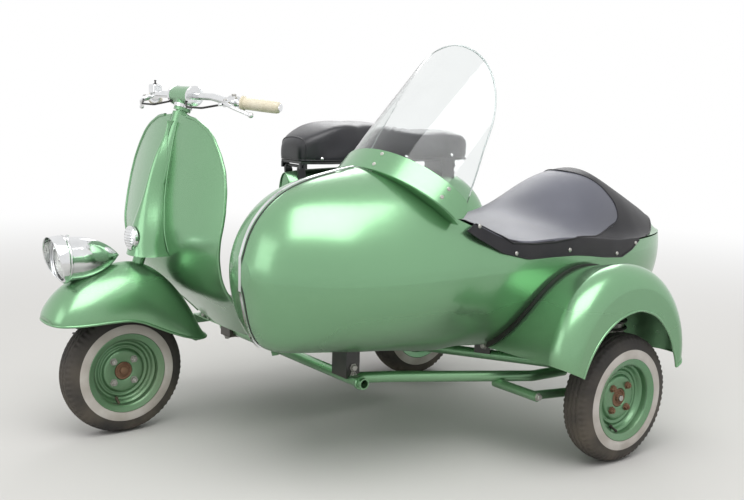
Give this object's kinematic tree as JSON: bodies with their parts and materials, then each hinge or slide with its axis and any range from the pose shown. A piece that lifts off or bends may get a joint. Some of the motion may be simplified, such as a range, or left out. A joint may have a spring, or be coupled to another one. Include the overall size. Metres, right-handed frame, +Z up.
{
  "type": "motor scooter with sidecar",
  "caption": "Motor scooter with a steered front wheel, dual seat and an egg-shaped sidecar under a stretched cover behind a raked clear screen",
  "frame": {"origin": "centre of the bounding box footprint, on the ground under the tyres", "axes": "+X forward, +Y to the vehicle's left where the sidecar is, +Z up"},
  "size_m": [1.903, 1.4871, 1.1889],
  "materials": {
    "body_paint": "gloss pale green enamel",
    "wheel_paint": "gloss pale green enamel",
    "frame_paint": "satin green enamel",
    "chrome_trim": "bright plate",
    "steel_parts": "satin steel",
    "dark_metal": "satin black enamel",
    "cast_metal": "cast",
    "tyre_rubber": "black with a pale side band",
    "black_rubber": "matt",
    "black_vinyl": "grained vinyl",
    "ivory_grip": "semi gloss ivory",
    "lamp_glass": "clear ribbed",
    "red_lens": "red lens",
    "clear_screen": "clear acrylic"
  },
  "bodies": {
    "chassis": {"leg_shield": "body_paint", "column_cover": "body_paint", "horn": "chrome_trim", "head_tube": "body_paint", "floorboard": "body_paint", "rear_body": "body_paint", "cowl_left": "body_paint", "cowl_right": "body_paint", "engine_block": "cast_metal", "rear_axle": "steel_parts", "rear_damper": "steel_parts", "exhaust": "dark_metal", "kick_lever": "steel_parts", "brake_pedal": "steel_parts", "tail_lamp": "red_lens", "seat_bracket": "dark_metal", "seat_rest": "dark_metal", "sidecar_tub": "body_paint", "nose_strip": "chrome_trim", "screen_band": "body_paint", "windscreen": "clear_screen", "tonneau_cover": "black_vinyl", "side_fender": "body_paint", "fender_bead": "black_rubber", "front_cross_tube": "frame_paint", "side_rail": "frame_paint", "rear_cross_tube": "frame_paint", "clamp_front": "dark_metal", "clamp_rear": "dark_metal", "saddle_front": "dark_metal", "saddle_rear": "dark_metal", "side_arm": "frame_paint", "side_damper": "steel_parts"},
    "steering": {"steering_column": "frame_paint", "fork_link": "frame_paint", "fork_damper": "steel_parts", "handlebar_head": "body_paint", "handlebar": "chrome_trim", "grip_left": "ivory_grip", "grip_right": "ivory_grip", "lever_left": "chrome_trim", "lever_right": "chrome_trim", "switch_box": "chrome_trim", "cable_left": "black_rubber", "cable_right": "black_rubber", "front_fender": "body_paint", "headlamp_shell": "chrome_trim", "headlamp_lens": "lamp_glass"},
    "front_wheel": {"front_rim": "wheel_paint", "front_tyre": "tyre_rubber"},
    "rear_wheel": {"rear_rim": "wheel_paint", "rear_tyre": "tyre_rubber"},
    "side_wheel": {"side_rim": "wheel_paint", "side_tyre": "tyre_rubber"},
    "seat": {"dual_seat": "black_vinyl", "seat_pan": "dark_metal"}
  },
  "joints": [
    {"name": "steering", "type": "hinge", "parent": "chassis", "child": "steering", "pos_m": [0.56401, -0.345, 0.8], "axis": [-0.309, 0, 0.9511], "range_deg": [-40, 40]},
    {"name": "front_wheel", "type": "hinge", "parent": "steering", "child": "front_wheel", "pos_m": [0.7135, -0.345, 0.19], "axis": [0, 1, 0], "continuous": true},
    {"name": "rear_wheel", "type": "hinge", "parent": "chassis", "child": "rear_wheel", "pos_m": [-0.4465, -0.345, 0.19], "axis": [0, 1, 0], "continuous": true},
    {"name": "side_wheel", "type": "hinge", "parent": "chassis", "child": "side_wheel", "pos_m": [-0.3765, 0.66, 0.19], "axis": [0, 1, 0], "continuous": true},
    {"name": "seat_tilt", "type": "hinge", "parent": "chassis", "child": "seat", "pos_m": [0.0975, -0.345, 0.797], "axis": [0, 1, 0], "range_deg": [0, 60]}
  ]
}
